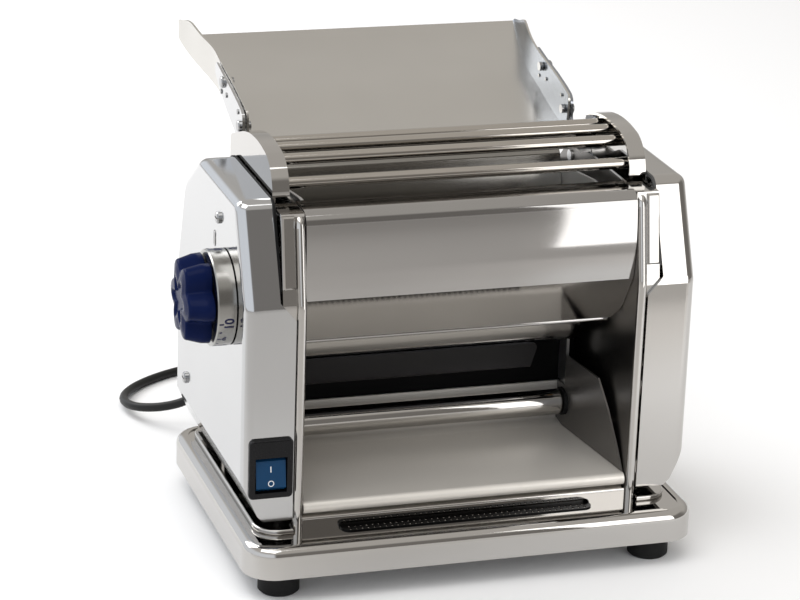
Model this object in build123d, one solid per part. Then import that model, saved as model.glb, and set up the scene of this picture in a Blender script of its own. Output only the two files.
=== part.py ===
"""Electric pasta maker: a chromed bench dough sheeter with a motor drive.

Lengths are millimetres, X to the right, the front faces -Y, Z up from the bench. Sizes are drawn
from the middle of the base; each sub-part is then written as one STEP file named after its node, with
the origin on the bench below the middle of the machine's overall size, dial and tray included.
"""
import os
from math import atan2, cos, degrees, hypot, pi, radians, sin, tan

from build123d import *

# ---------------------------------------------------------------- base
base_width = 305.0
base_depth = 220.0
base_corner = 21.0
base_wall_height = 20.8
base_sheet = 2.0
rim_width = 8.0
rim_rounding = 6.5
recess_depth = 0.8
foot_height = 17.0
foot_diameter = 27.0
foot_inset_x = 25.5
foot_inset_y = 23.5
foot_boss_radius = 9.0
foot_screw_radius = 2.5
foot_nut_height = 3.6
plate_width = 282.0
plate_front = -86.0
plate_back = 100.0
plate_thickness = 3.5
plate_corner = 16.0

# ---------------------------------------------------------------- side frames
opening_width = 221.2
frame_sheet = 2.0
flange_width = 15.4
bead_radius = 3.3
frame_back = 96.0
frame_top = 247.0
frame_lean_y = -70.5
facet_rise = 1.6
rod_radius = 5.0
rod_stud_radius = 3.0

# ---------------------------------------------------------------- casings
gear_room = 8.0
casing_front = -82.7
casing_back = 102.5
casing_bottom = 46.0
casing_top = 252.0
casing_sheet = 2.0
crease_height = 189.6
face_top_y = -56.0
tuck_height = 72.0
tuck_depth = 10.0
casing_round = 7.0
upper_inner_edge = 128.0
lower_inner_edge = 117.7
casing_screw_radius = 2.0
screw_head_height = 2.2
seal_thickness = 1.6

# ---------------------------------------------------------------- rollers and drive
roller_radius = 27.0
roller_length = 197.0
roller_gap = 0.3
roller_travel = 3.3
shaft_radius = 7.0
rear_axis_y = 8.0
rear_axis_z = 148.0
nip_angle = 140.2
roller_module = 2.7
roller_teeth = 20
drive_module = 2.0
drive_teeth = 40
pinion_teeth = 16
pinion_angle = -41.4
gear_width = 10.0
gear_offset = 6.4
motor_radius = 33.0
motor_length = 143.0
motor_axis_y = 62.0
motor_axis_z = 90.0
output_radius = 6.0
shaft_socket = 12.0

# ---------------------------------------------------------------- dial
knob_radius = 30.0
knob_valley = 24.5
knob_lobes = 6
knob_length = 18.0
collar_radius = 31.0
collar_length = 12.0
collar_gap = 0.6
knob_gap = 0.8
dial_shaft_radius = 6.0
dial_turn = 300.0
dial_mark_angle = 43.5
dial_mark_gap = 11.0
cam_radius = 12.0
follower_radius = 2.5

# ---------------------------------------------------------------- delivery space
panel_sheet = 1.5
panel_front = -73.0
panel_fold_height = 190.0
panel_top = 247.0
panel_lower_y = -50.5
panel_lower_z = 155.0
sill_height = 7.4
vent_half_length = 86.0
vent_height = 3.2
vent_reach = 9.6
vent_holes = 41
chute_top = 55.5
lip_front = -81.4
lip_bottom = 47.3
liner_sheet = 1.2
cover_top = 118.0
guide_bar_radius = 9.0
guide_bar_y = 11.0
guide_bar_z = 73.0

# ---------------------------------------------------------------- hopper
cheek_inner = 99.0
cheek_sheet = 2.0
guard_sheet = 2.0
guard_outer = 125.4
guard_flange = 11.2
guard_rod_radius = 3.8
hinge_y = 50.0
hinge_z = 236.0
hinge_pin_radius = 3.2
tray_sheet_thickness = 1.5
tray_half_width = 111.3
tray_back = 213.0
bracket_sheet = 2.0
bracket_room = 2.9
tray_screw_radius = 1.9
tray_rivet_radius = 1.2

# ---------------------------------------------------------------- switch
switch_left = -147.5
switch_width = 29.0
switch_bottom = 63.0
switch_height = 40.0
switch_rise = 3.2
rocker_width = 20.0
rocker_height = 23.0
rocker_tilt = 7.0

# ---------------------------------------------------------------- cord
cord_radius = 3.2
gland_x = -92.0
gland_z = 78.0
relief_length = 34.0
coil_radius = 37.0
plug_width = 36.0
plug_length = 36.0
plug_tail = 30.0
plug_pin_pitch = 9.5

# ---------------------------------------------------------------- clearances and derived places
seat = 0.3
running = 0.05
web_inner = opening_width / 2
web_outer = web_inner + frame_sheet
flange_outer = web_inner + flange_width
bead_outer = web_inner + 2 * bead_radius
base_top = foot_height + base_wall_height
recess_top = base_top - recess_depth
plate_top = recess_top + plate_thickness
foot_nut_bottom = recess_top - base_sheet - foot_nut_height
frame_front = casing_front + casing_sheet + seat
bead_y = frame_front + 0.3
sill_front = frame_front + panel_sheet / 2
bracket_inner = tray_half_width + bracket_room
bracket_outer = bracket_inner + bracket_sheet
centre_distance = 2 * roller_radius + roller_gap
nip_y = cos(radians(nip_angle))
nip_z = sin(radians(nip_angle))
front_axis_y = rear_axis_y + centre_distance * nip_y
front_axis_z = rear_axis_z + centre_distance * nip_z
pinion_distance = drive_module * (drive_teeth + pinion_teeth) / 2 + 0.15
pinion_y = rear_axis_y + pinion_distance * cos(radians(pinion_angle))
pinion_z = rear_axis_z + pinion_distance * sin(radians(pinion_angle))
roller_gear_x = web_outer + gear_offset
drive_gear_x = roller_gear_x + gear_width + 2.0
casing_half_width = drive_gear_x + gear_width + gear_room + casing_sheet
block_outer = web_outer + 3.4
block_inner = web_inner - 4.6
block_back = 11.0
block_front = 18.0
block_half = 10.0
collar_left = -casing_half_width - collar_gap - collar_length
knob_left = collar_left - knob_gap - knob_length
overall_middle_x = (knob_left + casing_half_width + screw_head_height) / 2
overall_middle_y = (tray_back - base_depth / 2) / 2


# ---------------------------------------------------------------- drawing helpers
def side_plane(x):
    """Sketch plane at x whose sketch x is the object's Y and whose sketch y is its Z."""
    return Plane.YZ.offset(x)


def side_block(face, x0, x1):
    """A side-view outline carried along X from x0 to x1."""
    return extrude(side_plane(min(x0, x1)) * face, amount=abs(x1 - x0))


def round_bar(y, z, radius, x0, x1):
    """A round bar along X."""
    return side_block(Pos(y, z) * Circle(radius), x0, x1)


def tube(y, z, radius, bore, x0, x1):
    """A round tube along X."""
    return side_block(Pos(y, z) * (Circle(radius) - Circle(bore)), x0, x1)


def outline(*points):
    """A closed outline of straight edges."""
    return make_face(Polyline(*points, close=True))


def nearest(face, *points):
    """The outline's corners nearest to the given points."""
    return [min(face.vertices(), key=lambda v: hypot(v.X - p[0], v.Y - p[1])) for p in points]


def rounded_outline(points, radii):
    """A closed outline whose corners are rounded where their radius isn't zero."""
    face = outline(*points)
    for point, radius in zip(points, radii):
        if radius:
            face = fillet(nearest(face, point), radius)
    return face


def folded_sheet(points, radii, thickness):
    """The side view of a bent sheet that follows a line with rounded bends."""
    return trace(FilletPolyline(*points, radius=radii), line_width=thickness)


def mirror_x(shape):
    """The same shape on the other side of the machine."""
    return mirror(shape, about=Plane.YZ)


def upright_block(face, z0, z1):
    """A plan-view outline carried up from z0 to z1."""
    return extrude(Plane.XY.offset(z0) * face, amount=z1 - z0)


def front_block(face, y0, y1):
    """A front-view outline, sketched in X and Z, carried back from y0 to y1."""
    return extrude(Plane(origin=(0, y0, 0), x_dir=(1, 0, 0), z_dir=(0, -1, 0)) * face, amount=y0 - y1)


def group(shapes):
    """Separate solids that share one node."""
    return Compound([s for shape in shapes for s in shape.solids()])


# ---------------------------------------------------------------- base
def base_tray():
    """Pressed tray: rounded rim, shallow recessed floor, open underneath."""
    outer = upright_block(RectangleRounded(base_width, base_depth, base_corner), foot_height, base_top)
    outer = fillet(outer.faces().sort_by(Axis.Z)[-1].edges(), rim_rounding)
    inner = RectangleRounded(base_width - 2 * rim_width, base_depth - 2 * rim_width, base_corner - rim_width + 1)
    hollow_face = RectangleRounded(base_width - 2 * base_sheet, base_depth - 2 * base_sheet, base_corner - base_sheet)
    hollow = upright_block(hollow_face, foot_height - 1, recess_top - base_sheet)
    hollow = chamfer(hollow.faces().sort_by(Axis.Z)[-1].edges(), rim_rounding / 2)
    return outer - upright_block(inner, recess_top, base_top + 1) - hollow


def foot_places():
    x = base_width / 2 - foot_inset_x
    y = base_depth / 2 - foot_inset_y
    return [(sx * x, sy * y) for sx in (-1, 1) for sy in (-1, 1)]


def feet():
    """Rubber feet with a screw well below and a boss that reaches the weld nut."""
    bore = foot_screw_radius + seat
    profile = outline((bore, 6), (6, 6), (6, 0), (foot_diameter / 2 - 1.5, 0), (foot_diameter / 2, 1.5),
                      (foot_diameter / 2, foot_height), (foot_boss_radius, foot_height),
                      (foot_boss_radius, foot_nut_bottom), (bore, foot_nut_bottom))
    foot = revolve(Plane.XZ * profile, axis=Axis.Z)
    return group([Pos(x, y, 0) * foot for x, y in foot_places()])


def foot_screws():
    """Pan-head screws up through the feet into weld nuts below the tray's floor."""
    shank = Pos(0, 0, 5) * Cylinder(foot_screw_radius, foot_nut_bottom + foot_nut_height - 5,
                                    align=(Align.CENTER, Align.CENTER, Align.MIN))
    head = Pos(0, 0, 4.5) * Cylinder(4.4, 3)
    nut = Pos(0, 0, foot_nut_bottom) * extrude(RegularPolygon(4.6, 6), amount=foot_nut_height)
    screw = head + shank + nut
    return group([Pos(x, y, 0) * screw for x, y in foot_places()])


def bottom_plate():
    """Flat plate with rounded corners and edges, cut back in front where the frames and the sill stand."""
    depth = plate_back - plate_front
    face = Pos(0, (plate_back + plate_front) / 2) * RectangleRounded(plate_width, depth, plate_corner)
    notch_back = bead_y + bead_radius + seat
    notch = Pos(0, plate_front) * Rectangle(2 * (bead_outer + seat), 2 * (notch_back - plate_front))
    plate = upright_block(face - notch, recess_top, plate_top)
    flats = plate.faces().sort_by(Axis.Z)
    return fillet(flats[0].edges() + flats[-1].edges(), 1.2)


# ---------------------------------------------------------------- frames
def frame_outline():
    """Side view of a frame web, from the bottom plate up to the hopper."""
    points = [(frame_front, plate_top), (frame_front, crease_height - 1.6), (frame_lean_y, frame_top),
              (22, frame_top), (34, hinge_z + 6), (hinge_y + 8, hinge_z + 6), (80, 223),
              (frame_back, 165), (frame_back, plate_top)]
    return rounded_outline(points, [0, 20, 9, 8, 8, 6, 12, 12, 0])


def bead(x):
    """Rolled bead that runs up a frame's front edge and turns back along its top."""
    path = FilletPolyline((x, bead_y, recess_top), (x, bead_y, crease_height - 1.6),
                          (x, frame_lean_y, frame_top - bead_radius),
                          (x, frame_lean_y + 20, frame_top - bead_radius), radius=[20, 7])
    return sweep(Plane.XY.offset(recess_top) * Pos(x, bead_y) * Circle(bead_radius), path=path)


def frame_holes():
    """Openings of a web: bush seat, block slot, output shaft, rod studs, hinge pin and standoffs."""
    cut = Pos(rear_axis_y, rear_axis_z) * Circle(11.0 + running)
    slot_length = block_back + block_front + roller_travel + 2 * seat
    middle = (block_front + roller_travel - block_back) / 2
    place = Pos(front_axis_y + middle * nip_y, front_axis_z + middle * nip_z) * Rot(0, 0, nip_angle)
    cut += place * Rectangle(slot_length, 2 * (block_half + seat))
    cut += Pos(pinion_y, pinion_z) * Circle(output_radius + 2)
    for y, z in rod_places():
        cut += Pos(y, z) * Circle(rod_stud_radius + running)
    cut += Pos(hinge_y, hinge_z) * Circle(hinge_pin_radius + running)
    return cut


def right_side_frame():
    """Steel web with a front flange turned outwards, a rolled bead and a pressed facet."""
    web = side_block(frame_outline() - frame_holes(), web_inner, web_outer)
    line = FilletPolyline((frame_front + 1, plate_top), (frame_front + 1, crease_height - 1.6),
                          (frame_lean_y + 1, frame_top - 2), radius=[20])
    flange = side_block(trace(line, line_width=frame_sheet), web_inner, flange_outer)
    wide_from = crease_height - 12
    flange -= Pos(flange_outer, frame_front, (plate_top + wide_from) / 2) * Box(
        2 * (flange_outer - bead_outer), 12, wide_from - plate_top + 2)
    top = outline((frame_lean_y, frame_top - frame_sheet), (frame_lean_y, frame_top), (-48.2, frame_top),
                  (-48.2, frame_top - frame_sheet))
    flange += side_block(top, web_inner, flange_outer)
    return web + flange + bead(web_inner + bead_radius) + flange_facet()


def flange_facet():
    """Raised rectangular facet on the upper part of the flange."""
    lean = degrees(atan2(frame_lean_y - frame_front, frame_top - crease_height))
    middle_z = 223.0
    middle_y = frame_front + (middle_z - crease_height) * (frame_lean_y - frame_front) / (frame_top - crease_height)
    middle_x = (bead_outer + flange_outer) / 2
    pad = Box(flange_outer - bead_outer - 0.4, 2 * facet_rise, 46)
    pad = chamfer(pad.faces().sort_by(Axis.Y)[0].edges(), facet_rise * 0.7)
    return Pos(middle_x, middle_y, middle_z) * Rot(-lean, 0, 0) * pad


def rod_places():
    """Side-view places of the tie rods between the frames."""
    return [(-40, 48.3), (88, 58), (74, 212), (-58, 230)]


def tie_rods():
    """Rods between the frames; their studs pass the webs and carry nuts outside."""
    rods = []
    for y, z in rod_places():
        rod = round_bar(y, z, rod_radius, -web_inner, web_inner)
        rod += round_bar(y, z, rod_stud_radius, -web_outer - 5, web_outer + 5)
        nut = side_block(Pos(y, z) * RegularPolygon(5.2, 6), web_outer, web_outer + 3.2)
        rods.append(rod + nut + mirror_x(nut))
    return group(rods)


# ---------------------------------------------------------------- casings
def casing_form(inset, inner_edge):
    """Solid form of a right casing, with its surface moved in by inset."""
    bottom = casing_bottom - 2.5 * inset
    points = [(casing_front, bottom), (casing_front, crease_height), (face_top_y, casing_top),
              (44, casing_top), (84, 225), (casing_back, 166), (casing_back, bottom)]
    face = rounded_outline(points, [0, 12, 8, 26, 26, 40, 0])
    if inset:
        face = offset(face, amount=-inset)
        bottom += inset
    outer = casing_half_width - inset
    form = side_block(face, inner_edge, outer)
    tuck = outline((outer + 1, tuck_height), (outer, tuck_height), (outer - tuck_depth, casing_bottom + 4),
                   (outer - tuck_depth - 4, casing_bottom), (outer - tuck_depth - 4, bottom - 2),
                   (outer + 1, bottom - 2))
    rim = form.faces().sort_by(Axis.X)[-1].edges().filter_by(lambda e: e.center().Z > bottom + 1)
    form = fillet(rim, casing_round - inset)
    return form - front_block(tuck, casing_front - 1, casing_back + 1)


def casing_screw_places():
    return [(-14, 229), (71, 88)]


def right_casing():
    """Chromed cover: open inwards and below, stepped at its inner edge above the crease."""
    shell = casing_form(0, lower_inner_edge) - casing_form(casing_sheet, lower_inner_edge - 5)
    step_top = casing_top + 5
    step = outline((lower_inner_edge - 2, crease_height - 9), (lower_inner_edge, crease_height - 9),
                   (upper_inner_edge, crease_height + 3), (upper_inner_edge, step_top),
                   (lower_inner_edge - 2, step_top))
    shell -= front_block(step, casing_front - 5, casing_back + 5)
    for y, z in casing_screw_places():
        shell -= round_bar(y, z, casing_screw_radius + 0.2, casing_half_width - 4, casing_half_width + 4)
    return shell


def left_casing():
    """The right casing's twin with the dial hole, the dial's index mark and the switch cut-out."""
    shell = mirror_x(right_casing())
    shell -= round_bar(front_axis_y, front_axis_z, dial_shaft_radius + 1, -casing_half_width - 4,
                       -casing_half_width + 4)
    mark_reach = collar_radius + dial_mark_gap
    mark_y = front_axis_y + mark_reach * cos(radians(dial_mark_angle))
    mark_z = front_axis_z + mark_reach * sin(radians(dial_mark_angle))
    shell -= Pos(-casing_half_width, mark_y, mark_z) * Box(1.2, 1.6, 11)
    cut = Pos(switch_left + switch_width / 2, 0, switch_bottom + switch_height / 2)
    shell -= cut * Pos(0, casing_front, 0) * Box(switch_width - 3.0, 8, switch_height - 5)
    return shell


def edge_seal():
    """Rubber edging on the right casing's upper inner edge, just below its surface."""
    top = casing_top - 0.8
    points = [(-77, crease_height + 9), (face_top_y - 1.2, top), (44, top), (59.4, 243.2)]
    path = FilletPolyline(*points, radius=[8, 20])
    return side_block(trace(path, line_width=1.8), upper_inner_edge - seal_thickness, upper_inner_edge)


def casing_standoffs():
    """Posts from the frame webs that carry the casings."""
    posts = []
    for y, z in casing_screw_places():
        post = round_bar(y, z, 4.5, web_outer, casing_half_width - casing_sheet)
        post -= round_bar(y, z, casing_screw_radius + 0.1, casing_half_width - 16, casing_half_width)
        posts += [post, mirror_x(post)]
    return group(posts)


def casing_screws():
    """Domed screws through the casings into their standoffs."""
    screws = []
    for y, z in casing_screw_places():
        head = round_bar(y, z, 4.0, casing_half_width, casing_half_width + screw_head_height)
        head = chamfer(head.faces().sort_by(Axis.X)[-1].edges(), 0.9)
        head -= Pos(casing_half_width + screw_head_height, y, z) * Box(1.4, 6, 1)
        screw = head + round_bar(y, z, casing_screw_radius, casing_half_width - 12, casing_half_width)
        screws += [screw, mirror_x(screw)]
    return group(screws)


# ---------------------------------------------------------------- panels
def front_panel():
    """Bowed front panel with a rolled top, a top flange and a lower band that leans back."""
    bow = panel_front - 1.8
    lower = Line((panel_lower_y, panel_lower_z), (panel_front, panel_fold_height))
    face_line = ThreePointArc(lower @ 1, (bow, (panel_fold_height + panel_top - 8) / 2),
                              (panel_front, panel_top - 8))
    roll = ThreePointArc(face_line @ 1, (panel_front + 2.4, panel_top - 2.4), (panel_front + 8, panel_top))
    flange = Line(roll @ 1, (-47, panel_top))
    lip = Line(flange @ 1, (-45.5, panel_top - 5))
    section = trace([lower, face_line, roll, flange, lip], line_width=panel_sheet)
    panel = side_block(section, -web_inner + seat, web_inner - seat)
    edge = round_bar(panel_lower_y, panel_lower_z, 1.6, -web_inner + 8, web_inner - 8)
    corner = 11.0
    for side in (-1, 1):
        x = side * (web_inner - seat)
        trim = Box(2 * corner, 60, 2 * corner) - Pos(-side * corner, 0, corner) * Rot(90, 0, 0) * Cylinder(corner, 60)
        panel -= Pos(x, panel_lower_y, panel_lower_z) * trim
    return panel + edge


def rear_panel():
    """Back cover with two banks of cooling louvres and the cord gland's hole."""
    y = frame_back + seat + panel_sheet / 2
    points = [(y, plate_top + 0.5), (y, 166), (82.5, 224)]
    section = folded_sheet(points, [14], panel_sheet)
    half = bead_outer - 0.4
    panel = side_block(section, -half, half)
    slot = Rot(90, 0, 0) * extrude(SlotOverall(46, 3.2), amount=8, both=True)
    for column in (-1, 1):
        for row in range(7):
            panel -= Pos(column * 34, y, 92 + row * 8) * slot
    panel -= Pos(gland_x, y, gland_z) * Rot(90, 0, 0) * Cylinder(6.2, 8)
    return panel


def front_sill():
    """Folded sill under the delivery opening, cut out at its foot for the air grille."""
    top = recess_top + sill_height
    points = [(sill_front, recess_top), (sill_front, top), (sill_front + 4.2, top + 1.6)]
    section = folded_sheet(points, [1.2], panel_sheet)
    half = web_inner - seat
    slot = Rot(90, 0, 0) * extrude(SlotOverall(2 * vent_half_length, 2 * vent_height), amount=6, both=True)
    return side_block(section, -half, half) - Pos(0, sill_front, recess_top) * slot


def vent_grille():
    """Dark air strip that lies through the sill's cut-out: two rows of holes in front of the sill."""
    back = sill_front + panel_sheet / 2 + 1.2
    front = frame_front - vent_reach
    pitch = (2 * vent_half_length - 8) / vent_holes
    face = Pos(0, (front + back) / 2) * Rectangle(2 * vent_half_length - 1, back - front)
    face = fillet(nearest(face, (-vent_half_length, front), (vent_half_length, front)), 6)
    for y in (frame_front - 3.0, frame_front - 7.2):
        for i in range(vent_holes):
            face -= Pos((i - (vent_holes - 1) / 2) * pitch, y) * RegularPolygon(1.1, 6)
    return upright_block(face, recess_top, recess_top + 0.8)


def chute_plate():
    """Delivery floor with a rolled front lip and a rear upstand behind the guide bar."""
    front = lip_front + panel_sheet / 2
    low = lip_bottom + panel_sheet / 2
    top = chute_top - panel_sheet / 2
    back = guide_bar_y + guide_bar_radius + 2
    points = [(front + 6.4, low), (front, low), (front, top), (guide_bar_y, top), (back, top + 2.5),
              (back, guide_bar_z + guide_bar_radius + 2)]
    section = folded_sheet(points, [3.2, 3.2, 8, 5], panel_sheet)
    return side_block(section, -web_inner + 0.8, web_inner - 0.8)


def side_liner():
    """Flared wall right of the delivery floor: its front edge slants back, two pegs hold it to the web."""
    foot = chute_top + seat
    face = outline((19, foot + 2.6), (9, foot), (-76.5, foot), (-68, 70), (-53.5, 90.7), (-38, 107.5),
                   (8.6, 107.5), (8.6, 85.6), (19, 85.6))
    face -= Pos(guide_bar_y, guide_bar_z) * Circle(guide_bar_radius + 0.6 + seat)
    flare = outline((97.4, 19.5), (109.0, -77), (109.0 + liner_sheet, -77), (97.4 + liner_sheet, 19.5))
    liner = side_block(face, 90, web_inner) & upright_block(flare, 40, 120)
    for y, z in ((-14, 70), (-48, 80)):
        x = 109.0 - (y + 77) * 11.6 / 96.5
        liner += round_bar(y, z, 2.5, x + liner_sheet / 2, web_inner)
    return liner


def side_liners():
    """Both flared walls of the delivery space."""
    right = side_liner()
    return group([right, mirror_x(right)])


def guide_bar():
    """Chromed bar over the back of the delivery floor."""
    bar = round_bar(guide_bar_y, guide_bar_z, guide_bar_radius, -97, 97)
    bar = fillet(bar.edges().filter_by(GeomType.CIRCLE), 2.5)
    return bar + round_bar(guide_bar_y, guide_bar_z, 4, -web_inner, web_inner)


def guide_bar_caps():
    """End rings between the bar and the frames."""
    ring = tube(guide_bar_y, guide_bar_z, guide_bar_radius + 0.6, 4 + running, 97.2, 101.5)
    return group([ring, mirror_x(ring)])


def inner_cover():
    """Dark partition between the delivery space and the motor."""
    y = guide_bar_y + guide_bar_radius + 5.2
    half = web_inner - seat
    return Pos(0, y, (plate_top + cover_top) / 2) * Box(2 * half, panel_sheet, cover_top - plate_top)


# ---------------------------------------------------------------- rollers and gears
def gear_outline(module, teeth, tooth_angle):
    """Spur gear outline with straight-flanked teeth; one tooth points along tooth_angle."""
    pitch = module * teeth / 2
    tip = pitch + module
    root = pitch - 1.25 * module
    share = 360 / teeth
    points = []
    for tooth in range(teeth):
        middle = tooth_angle + tooth * share
        for radius, step in ((root, -0.33), (tip, -0.13), (tip, 0.13), (root, 0.33)):
            angle = radians(middle + step * share)
            points.append((radius * cos(angle), radius * sin(angle)))
    return outline(*points)


def roller_gear(axis_y, axis_z, tooth_angle):
    face = gear_outline(roller_module, roller_teeth, tooth_angle) - Circle(shaft_radius)
    return side_block(Pos(axis_y, axis_z) * face, roller_gear_x, roller_gear_x + gear_width)


def rear_roller():
    """Fixed-height roller whose right shaft carries both gears."""
    y, z = rear_axis_y, rear_axis_z
    body = round_bar(y, z, roller_radius, -roller_length / 2, roller_length / 2)
    body = chamfer(body.edges().filter_by(GeomType.CIRCLE), 1)
    return body + round_bar(y, z, shaft_radius, -block_outer, drive_gear_x + gear_width + 1)


def front_roller():
    """Adjustable roller carried by the sliding blocks."""
    y, z = front_axis_y, front_axis_z
    body = round_bar(y, z, roller_radius, -roller_length / 2, roller_length / 2)
    body = chamfer(body.edges().filter_by(GeomType.CIRCLE), 1)
    return body + round_bar(y, z, shaft_radius, -block_outer, roller_gear_x + gear_width + 1)


def drive_gear():
    """Large gear on the rear roller's shaft, lightened by five holes."""
    tooth = pinion_angle
    face = gear_outline(drive_module, drive_teeth, tooth) - Circle(shaft_radius)
    for i in range(5):
        angle = radians(72 * i)
        face -= Pos(22 * cos(angle), 22 * sin(angle)) * Circle(7)
    return side_block(Pos(rear_axis_y, rear_axis_z) * face, drive_gear_x, drive_gear_x + gear_width)


def motor_pinion():
    """Pinion with its gearbox output shaft, its gap turned to the drive gear's tooth."""
    tooth = pinion_angle + 180 + 180 / pinion_teeth
    face = gear_outline(drive_module, pinion_teeth, tooth)
    teeth = side_block(Pos(pinion_y, pinion_z) * face, drive_gear_x, drive_gear_x + gear_width)
    return teeth + round_bar(pinion_y, pinion_z, output_radius, gearbox_right() - shaft_socket + seat,
                             drive_gear_x + gear_width + 3)


def rear_roller_bushes():
    """Flanged bronze bushes of the rear roller."""
    bush = tube(rear_axis_y, rear_axis_z, 11.0, shaft_radius + running, web_inner - 4.6, block_outer)
    bush += tube(rear_axis_y, rear_axis_z, 14.0, shaft_radius + running, web_inner - 4.6, web_inner - 0.1)
    return group([bush, mirror_x(bush)])


def bearing_block():
    """Sliding block of the adjustable roller, bored for its shaft."""
    length = block_back + block_front
    middle = (block_front - block_back) / 2
    face = Pos(middle, 0) * RectangleRounded(length, 2 * block_half, 2) - Circle(shaft_radius + running)
    face = Pos(front_axis_y, front_axis_z) * Rot(0, 0, nip_angle) * face
    return side_block(face, block_inner, block_outer)


def follower_place():
    reach = cam_radius + follower_radius + seat
    return front_axis_y + reach * nip_y, front_axis_z + reach * nip_z


def bearing_blocks():
    """Both sliding blocks; the left one carries the pin that follows the dial's cam."""
    right = bearing_block()
    pin_y, pin_z = follower_place()
    pin = round_bar(pin_y, pin_z, follower_radius, -block_outer, -block_outer - 8)
    return group([right, mirror_x(right) + pin])


def block_guides():
    """Rails screwed to the webs on both sides of each sliding block."""
    rails = []
    for side in (-1, 1):
        across = side * (block_half + seat + 2.5)
        face = Pos((block_front - block_back) / 2, across) * Rectangle(34, 5)
        face = Pos(front_axis_y, front_axis_z) * Rot(0, 0, nip_angle) * face
        rail = side_block(face, web_outer, block_outer)
        rails += [rail, mirror_x(rail)]
    return group(rails)


def rear_scraper():
    """Blade that strips the dough from the rear roller; its right end is free and rounded."""
    touch = radians(235)
    reach = roller_radius + 0.4
    tip = (rear_axis_y + reach * cos(touch) - 0.6, rear_axis_z + reach * sin(touch) - 0.5)
    cover_y = guide_bar_y + guide_bar_radius + 5.2 - panel_sheet / 2 - 0.1
    section = folded_sheet([(cover_y, 102), (6, 102), tip], [4], 1.4)
    blade = side_block(section, -96, 72)
    trim = Pos(72, 0, tip[1]) * (Box(12, 60, 12) - Pos(-6, 0, -6) * Rot(90, 0, 0) * Cylinder(6, 60))
    return blade - trim


def front_scraper():
    """Blade that strips the dough from the front roller."""
    touch = radians(262)
    reach = roller_radius + 0.9
    tip = (front_axis_y + reach * cos(touch), front_axis_z + reach * sin(touch))
    root = (panel_lower_y + 1.9, panel_lower_z - 1.6)
    section = trace(Line(root, tip), line_width=1.2)
    return side_block(section, -96, 96)


# ---------------------------------------------------------------- motor
def gearbox_right():
    return web_inner - 3.0


def gear_motor():
    """Finned motor with end bells and a gearbox whose output sits above the motor's axis."""
    y, z = motor_axis_y, motor_axis_z
    left = -76.0
    right = left + motor_length
    body = round_bar(y, z, motor_radius - 3, left, right)
    for i in range(9):
        x = left + 22 + i * 11
        body += round_bar(y, z, motor_radius, x, x + 6)
    for x in (left, right - 14):
        bell = round_bar(y, z, motor_radius, x, x + 14)
        body += bell
    head = Circle(motor_radius - 4) + Pos(pinion_y - y, pinion_z - z) * Circle(19)
    head = make_hull(head.edges())
    body += side_block(Pos(y, z) * head, right, gearbox_right())
    return body - round_bar(pinion_y, pinion_z, output_radius + running, gearbox_right() - shaft_socket,
                            gearbox_right() + 1)


def motor_bracket():
    """Saddle that carries the motor on the bottom plate."""
    y, z = motor_axis_y, motor_axis_z
    front, back = y - 27, y + 20
    plates = []
    for x in (-64.0, 46.0):
        face = outline((front, plate_top), (back, plate_top), (back, z - 10), (front, z - 10))
        saddle = side_block(face, x, x + 10) - round_bar(y, z, motor_radius + 0.1, x - 1, x + 11)
        plates.append(saddle)
    strap = side_block(outline((front, plate_top), (back, plate_top), (back, plate_top + 3),
                               (front, plate_top + 3)), -54, 46)
    return plates[0] + plates[1] + strap


def run_capacitor():
    """Motor capacitor standing beside the motor."""
    can = Cylinder(14, 62, align=(Align.CENTER, Align.CENTER, Align.MIN))
    can = fillet(can.edges().filter_by(GeomType.CIRCLE).sort_by(Axis.Z)[-1:], 3)
    terminals = Pos(0, 5, 62) * Box(1, 6, 12) + Pos(0, -5, 62) * Box(1, 6, 12)
    return Pos(-93, motor_axis_y, plate_top) * (can + terminals)


# ---------------------------------------------------------------- dial
def knob_outline():
    """Six round lobes joined by scalloped valleys."""
    step = 360 / knob_lobes
    edges = []
    for lobe in range(knob_lobes):
        middle = 15 + lobe * step
        lobe_arc = arc_through(middle, 0.24 * step, knob_radius, knob_radius - 1.8)
        valley_arc = arc_through(middle + step / 2, 0.26 * step, knob_valley, knob_radius - 1.8)
        edges += [lobe_arc, valley_arc]
    return make_face(edges)


def arc_through(middle, half, radius_middle, radius_end):
    """Arc about a radial direction, through two end points and one point between them."""
    ends = [(radius_end * cos(radians(a)), radius_end * sin(radians(a))) for a in (middle - half, middle + half)]
    peak = (radius_middle * cos(radians(middle)), radius_middle * sin(radians(middle)))
    return ThreePointArc(ends[0], peak, ends[1])


def thickness_knob():
    """Lobed hand knob with a rounded face and a hub bored for the dial shaft."""
    back = collar_left - knob_gap
    face = Pos(front_axis_y, front_axis_z) * knob_outline()
    knob = side_block(face, knob_left, back)
    front_edges = knob.faces().sort_by(Axis.X)[0].edges()
    knob = fillet(front_edges, 3.0)
    dish = Pos(knob_left, front_axis_y, front_axis_z) * Rot(0, 90, 0) * Cylinder(13, 3)
    return knob - dish - round_bar(front_axis_y, front_axis_z, dial_shaft_radius, back - 10, back + 1)


def dial_collar():
    """Graduated ring between the knob and the casing, cut with a groove behind its edge."""
    ring = tube(front_axis_y, front_axis_z, collar_radius, dial_shaft_radius, collar_left,
                collar_left + collar_length)
    ring = chamfer(ring.faces().sort_by(Axis.X)[0].edges(), 0.8)
    return ring


def dial_shaft():
    """Shaft from the knob through the casing to the cam."""
    return round_bar(front_axis_y, front_axis_z, dial_shaft_radius, collar_left - knob_gap - 10, cam_right())


def cam_right():
    return -block_outer - 2.0


def dial_bush():
    """Bush behind the casing wall that carries the dial shaft."""
    inner = -casing_half_width + casing_sheet + 0.1
    bush = tube(front_axis_y, front_axis_z, 10, dial_shaft_radius + running, inner, inner + 16)
    return bush + tube(front_axis_y, front_axis_z, 16, dial_shaft_radius + running, inner, inner + 3)


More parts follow.
